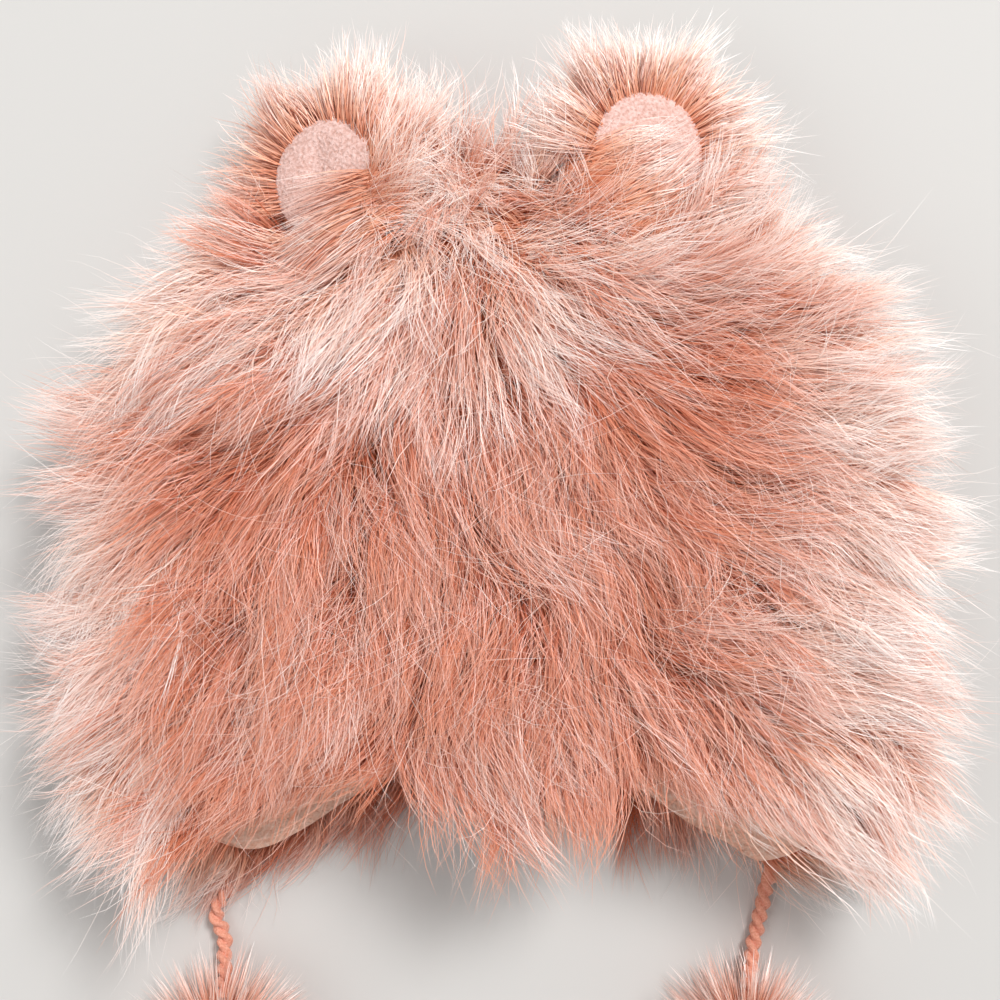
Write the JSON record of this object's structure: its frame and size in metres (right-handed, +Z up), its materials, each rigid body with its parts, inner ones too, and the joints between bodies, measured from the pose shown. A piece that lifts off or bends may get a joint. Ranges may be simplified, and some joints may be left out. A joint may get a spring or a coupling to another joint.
{
  "type": "trapper hat",
  "caption": "Small child's trapper hat in shaggy fur with round ears, fleece lining, ear flaps and tie cords that end in pompoms, lying on its back.",
  "frame": {"origin": "middle of the hat's footprint, without its ties and pompoms, on the surface that it lies on", "axes": "+Z up out of the hat's front, which faces up; +Y towards the crown and ears; the mouth, flaps and ties towards -Y"},
  "size_m": [0.3136, 0.3792, 0.0627],
  "materials": {
    "fur": "long-pile fur",
    "fleece": "nubby fleece",
    "yarn": "twisted yarn"
  },
  "bodies": {
    "root": {"shell_front": "fur", "shell_back": "fur", "flap_left": "fur", "flap_right": "fur", "lining": "fleece", "ear_left": "fur", "ear_inner_left": "fleece", "ear_right": "fur", "ear_inner_right": "fleece", "tie_left": "yarn", "pompom_left": "fur", "tie_right": "yarn", "pompom_right": "fur"}
  },
  "joints": []
}
